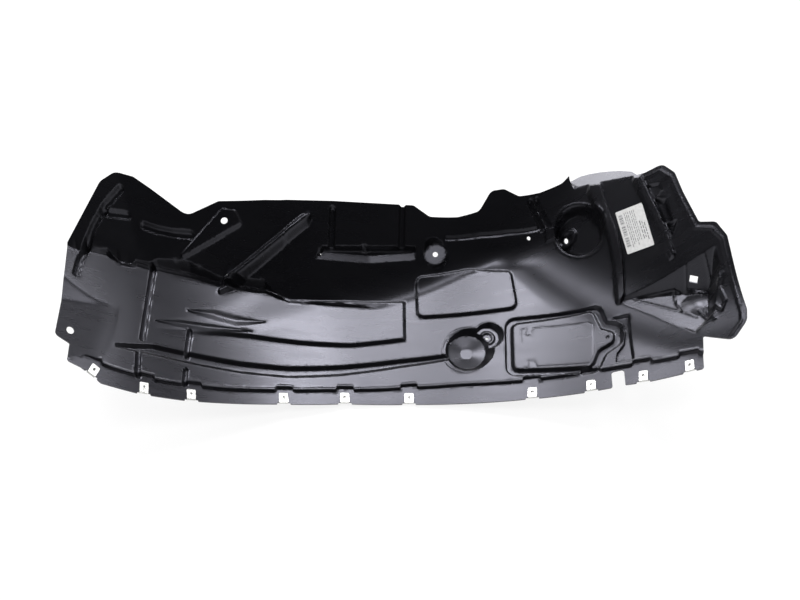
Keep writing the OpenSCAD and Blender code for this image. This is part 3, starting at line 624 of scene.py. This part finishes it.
def add_range(nodes, links, value, given, wanted):
    spread = nodes.new("ShaderNodeMapRange")
    spread.inputs["From Min"].default_value, spread.inputs["From Max"].default_value = given
    spread.inputs["To Min"].default_value, spread.inputs["To Max"].default_value = wanted
    links.new(value, spread.inputs["Value"])
    return spread.outputs["Result"]


def add_bump(nodes, links, height, strength, distance):
    bump = nodes.new("ShaderNodeBump")
    bump.inputs["Strength"].default_value = strength
    bump.inputs["Distance"].default_value = distance
    links.new(height, bump.inputs["Height"])
    return bump


black, nodes, links, shader = new_material("black_plastic")
shader.inputs["Base Color"].default_value = (0.003, 0.003, 0.0035, 1)
shader.inputs["Specular Tint"].default_value = (0.86, 0.86, 1.0, 1)
place_in_mesh = nodes.new("ShaderNodeTexCoord").outputs["Object"]
# Gloss: soft cloudy patches and streaks drawn along the moulding
stretch = nodes.new("ShaderNodeMapping")
stretch.inputs["Scale"].default_value = (5.0, 34.0, 5.0)
links.new(place_in_mesh, stretch.inputs["Vector"])
both = nodes.new("ShaderNodeMath")
both.operation = "ADD"
links.new(add_noise(nodes, links, stretch.outputs["Vector"], 3.0, 2.0), both.inputs[0])
links.new(add_noise(nodes, links, place_in_mesh, 7.0, 3.0), both.inputs[1])
gloss = add_range(nodes, links, both.outputs[0], (0.6, 1.4), (0.25, 0.31))
links.new(gloss, shader.inputs["Roughness"])
# Grain: the fine matt texture of the mould, and the slow waviness of a thin sheet
wavy = add_bump(nodes, links, add_noise(nodes, links, place_in_mesh, 14.0, 1.0), 0.18, 0.0022)
grainy = add_bump(nodes, links, add_noise(nodes, links, place_in_mesh, 900.0, 2.0), 0.05, 0.0002)
links.new(wavy.outputs["Normal"], grainy.inputs["Normal"])
links.new(grainy.outputs["Normal"], shader.inputs["Normal"])
liner = new_object("liner_panel_skin", panel, black)
trim_tool = new_object("trim_tool", cutter, black)
hollow_tool = new_object("hollow_tool", hollow, black)
drill_tool = new_object("drill_tool", drill, black)
for tool, operation in ((trim_tool, "INTERSECT"), (hollow_tool, "DIFFERENCE"), (drill_tool, "DIFFERENCE")):
    cut = liner.modifiers.new("cut", "BOOLEAN")
    cut.operation = operation
    cut.solver = "MANIFOLD"
    cut.object = tool
baked = bpy.data.meshes.new_from_object(liner.evaluated_get(bpy.context.evaluated_depsgraph_get()))
liner.modifiers.clear()
liner.data = baked
for tool in (trim_tool, hollow_tool, drill_tool):
    bpy.data.objects.remove(tool)
for polygon in baked.polygons:
    polygon.use_smooth = True
baked.set_sharp_from_angle(angle=math.radians(38))
# Normals are weighed by face area, so broad faces count for more than the small ones beside them
even = liner.modifiers.new("even", "WEIGHTED_NORMAL")
even.mode = "FACE_AREA"
even.keep_sharp = True
baked = bpy.data.meshes.new_from_object(liner.evaluated_get(bpy.context.evaluated_depsgraph_get()))
liner.modifiers.clear()
liner.data = baked
baked.transform(Matrix.Scale(MM, 4))
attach(liner, "root")
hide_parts("liner_panel")

# Spring clips: bright zinc-plated strips bent round the flange, each with a screw hole that
# is drawn through into a short collar, its free end curled up as a lead-in.
CLIP_W, CLIP_L, CLIP_T, CLIP_HOLE = 12.5, 15.0, 0.8, 4.2
CLIP_CLEARANCE = 0.1
CLIP_HOLE_AT = 0.55 * CLIP_L
clip_middle = CLIP_T / 2 + CLIP_CLEARANCE
bend_radius = WALL / 2 + clip_middle
path = [(CLIP_L, clip_middle + 0.5), (CLIP_L - 1.2, clip_middle + 0.1), (CLIP_L - 2.2, clip_middle)]
path += [(CLIP_L - 2.2 - k * 1.1, clip_middle) for k in range(1, 11)]
path += [(0.35 - bend_radius * 0.4 * math.sin(math.pi * k / 10),
          bend_radius * math.cos(math.pi * k / 10) - WALL / 2) for k in range(11)]
path += [(0.35 + k * 1.09, -WALL - clip_middle) for k in range(1, 11)]
steps = [0.0]
for a, b in zip(path, path[1:]):
    steps.append(steps[-1] + math.dist(a, b))
STRIP_COLUMNS = 12
strip = bmesh.new()
bmesh.ops.create_grid(strip, x_segments=STRIP_COLUMNS, y_segments=len(path) - 1, size=0.5)
top = bmesh.ops.extrude_face_region(strip, geom=strip.faces[:])
bmesh.ops.translate(strip, vec=(0, 0, 1), verts=points_of(top))
for point in strip.verts:
    row = round((point.co.y + 0.5) * (len(path) - 1))
    here = Vector(path[row])
    along = (Vector(path[min(row + 1, len(path) - 1)]) - Vector(path[max(row - 1, 0)])).normalized()
    outward = Vector((along.y, -along.x)) * (CLIP_T / 2) * (1 if point.co.z > 0.5 else -1)
    narrowing = 1 - 0.10 * max(0, 1 - steps[row] / 1.3) - 0.10 * max(0, 1 - (steps[-1] - steps[row]) / 1.3)
    across = point.co.x * CLIP_W * narrowing
    point.co = (across, here.x + outward.x, here.y + outward.y)
bmesh.ops.recalc_face_normals(strip, faces=strip.faces)
tool = bmesh.new()
made = bmesh.ops.create_cone(tool, cap_ends=True, segments=32, radius1=CLIP_HOLE / 2,
                             radius2=CLIP_HOLE / 2, depth=20)
bmesh.ops.translate(tool, verts=made["verts"], vec=(0, CLIP_HOLE_AT, 0))
zinc, nodes, links, shader = new_material("zinc_plated_steel")
shader.inputs["Base Color"].default_value = (0.72, 0.72, 0.70, 1)
shader.inputs["Metallic"].default_value = 1.0
place_in_mesh = nodes.new("ShaderNodeTexCoord").outputs["Object"]
plating = add_noise(nodes, links, place_in_mesh, 420.0, 3.0)
dulling = add_range(nodes, links, plating, (0.3, 0.7), (0.24, 0.46))
links.new(dulling, shader.inputs["Roughness"])
blank = new_object("clip_blank", strip, zinc)
drill_tool = new_object("drill_tool", tool, zinc)
cut = blank.modifiers.new("cut", "BOOLEAN")
cut.operation = "DIFFERENCE"
cut.solver = "MANIFOLD"
cut.object = drill_tool
bent = bpy.data.meshes.new_from_object(blank.evaluated_get(bpy.context.evaluated_depsgraph_get()))
for spare in (blank, drill_tool):
    bpy.data.objects.remove(spare)
# Collar round the hole, on top of the upper leaf
collar = bmesh.new()
collar.from_mesh(bent)
RING_SIDES, TUBE_SIDES = 32, 8
ring_verts = bmesh.ops.create_grid(collar, x_segments=RING_SIDES, y_segments=TUBE_SIDES, size=0.5)["verts"]
for point in ring_verts:
    turn = (point.co.x + 0.5) * 2 * math.pi
    roll = (point.co.y + 0.5) * 2 * math.pi
    reach = CLIP_HOLE / 2 + 0.45 + 0.4 * math.cos(roll)
    point.co = (reach * math.cos(turn), CLIP_HOLE_AT + reach * math.sin(turn),
                CLIP_CLEARANCE + CLIP_T + 0.1 + 0.35 * math.sin(roll))
bmesh.ops.remove_doubles(collar, verts=ring_verts, dist=0.001)
bmesh.ops.recalc_face_normals(collar, faces=collar.faces)
collar.to_mesh(bent)
collar.free()
for polygon in bent.polygons:
    polygon.use_smooth = True
bent.set_sharp_from_angle(angle=math.radians(40))


def clip_frame(place, run, out):
    tilt = math.asin(place[0] / (BARREL_R + 3))
    turn = math.atan2(run[1] * math.cos(tilt), run[0])
    height = BARREL_R - math.sqrt((BARREL_R + 3) ** 2 - place[0] ** 2) + LIFT
    return (Matrix.Scale(MM, 4) @ Matrix.Translation((place[0], place[1], height))
            @ Matrix.Rotation(-tilt, 4, "Y") @ Matrix.Rotation(turn, 4, "Z")
            @ Matrix.Translation((0, GAP_DEPTH - out, 0)))


clip_frames = [clip_frame(CORNER_CLIP, CORNER_CLIP_RUN, 1.0)]
for clip_x in CLIP_X:
    run = (20, lip_at(clip_x + 10) - lip_at(clip_x - 10))
    clip_frames.append(clip_frame((clip_x, lip_at(clip_x)), run, 0.4))
for number, placing in enumerate(clip_frames, 1):
    mesh = bent.copy()
    mesh.transform(placing)
    clip = bpy.data.objects.new("clip_%d_skin" % number, mesh)
    mesh.materials.clear()
    mesh.materials.append(zinc)
    bpy.context.scene.collection.objects.link(clip)
    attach(clip, "root")
    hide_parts("clip_%d" % number)


# Label: a white paper card stuck to the right wall, printed with a bar field along one edge
# and lines of small print that stand for words without spelling any.
LABEL_W, LABEL_H, LABEL_T, LABEL_TURN = 46.0, 62.0, 0.3, math.radians(62)
LABEL_AT = (330.0, 62.0)
at = np.array([LABEL_AT[0]]), np.array([LABEL_AT[1]])
label_z = foot_height(*at, RIGHT_FOOT)[0]
slope_x = foot_height(at[0] + 1, at[1], RIGHT_FOOT)[0] - label_z
slope_y = foot_height(at[0], at[1] + 1, RIGHT_FOOT)[0] - label_z
normal = unit((-slope_x, -slope_y, 1))
label_frame = (Matrix.Scale(MM, 4) @ Matrix.Translation((LABEL_AT[0], LABEL_AT[1], label_z + LIFT))
               @ Matrix.Rotation(math.atan2(normal[1], normal[0]), 4, "Z")
               @ Matrix.Rotation(math.acos(normal[2]), 4, "Y") @ Matrix.Rotation(LABEL_TURN, 4, "Z")
               @ Matrix.Translation((0, 0, 0.02)))
card = bmesh.new()
rim = corner_arc([(-LABEL_H / 2, -LABEL_W / 2, 1.5), (LABEL_H / 2, -LABEL_W / 2, 1.5),
                  (LABEL_H / 2, LABEL_W / 2, 1.5), (-LABEL_H / 2, LABEL_W / 2, 1.5)])
face = card.faces.new([card.verts.new((px, py, 0)) for px, py in rim])
raised = bmesh.ops.extrude_face_region(card, geom=[face])
bmesh.ops.translate(card, vec=(0, 0, LABEL_T), verts=points_of(raised))
bmesh.ops.recalc_face_normals(card, faces=card.faces)
bmesh.ops.transform(card, matrix=label_frame, verts=card.verts)


def add_tone(nodes, links, value, low, high):
    tones = nodes.new("ShaderNodeValToRGB")
    for stop, (position, colour) in zip(tones.color_ramp.elements, (low, high)):
        stop.position = position
        stop.color = colour
    links.new(value, tones.inputs["Fac"])
    return tones.outputs["Color"]


paper_with_painted_shade, nodes, links, shader = new_material("label_paper")
shader.inputs["Roughness"].default_value = 0.45
place_in_mesh = nodes.new("ShaderNodeTexCoord").outputs["Object"]
fibres = add_noise(nodes, links, place_in_mesh, 260.0, 4.0)
# The card is coloured light grey, not white: painted shade for the dim light it gets on the wall. The fibre
# noise varies that grey at random.
tone = add_tone(nodes, links, fibres, (0.3, (0.47, 0.47, 0.465, 1)), (0.7, (0.56, 0.56, 0.555, 1)))
links.new(tone, shader.inputs["Base Color"])
label = new_object("label_card", card, paper_with_painted_shade)
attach(label, "root")
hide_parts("label")

ink = bmesh.new()


def print_bar(u, v, length, width):
    made = bmesh.ops.create_grid(ink, x_segments=1, y_segments=1, size=0.5)
    bmesh.ops.scale(ink, vec=(length, width, 1), verts=made["verts"])
    bmesh.ops.translate(ink, vec=(u, v, LABEL_T + 0.03), verts=made["verts"])


u = -25.0
for k in range(36):
    bar = (0.35, 0.8, 0.35, 0.55, 1.1)[k % 5]
    if k not in (11, 12, 24):
        print_bar(u + bar / 2, -16.5, bar, 6.4)
    u += bar + (0.7, 0.5, 0.9)[k % 3]
for row, v in enumerate((-9.6, -6.6, -3.6, 0.2, 3.2, 6.2)):
    u = -26.0
    for k in range(9):
        word = (4.2, 6.8, 2.6, 5.4, 3.4)[(k + 2 * row) % 5]
        if u + word < 26 - 3 * (row % 3):
            print_bar(u + word / 2, v, word, 0.9)
        u += word + 1.1
for row, v in enumerate((11.0, 14.4, 17.8)):
    u = -8.0 + 2 * row
    for k in range(4):
        word = (6.4, 3.2, 5.2)[(k + row) % 3]
        print_bar(u + word / 2, v, word, 1.3)
        u += word + 1.6
bmesh.ops.transform(ink, matrix=label_frame, verts=ink.verts)
grey_ink, nodes, links, shader = new_material("label_ink")
shader.inputs["Roughness"].default_value = 0.5
place_in_mesh = nodes.new("ShaderNodeTexCoord").outputs["Object"]
specks = add_noise(nodes, links, place_in_mesh, 900.0, 2.0)
fading = add_tone(nodes, links, specks, (0.35, (0.06, 0.06, 0.07, 1)), (0.75, (0.16, 0.16, 0.17, 1)))
links.new(fading, shader.inputs["Base Color"])
print_marks = new_object("label_print", ink, grey_ink)
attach(print_marks, "root")
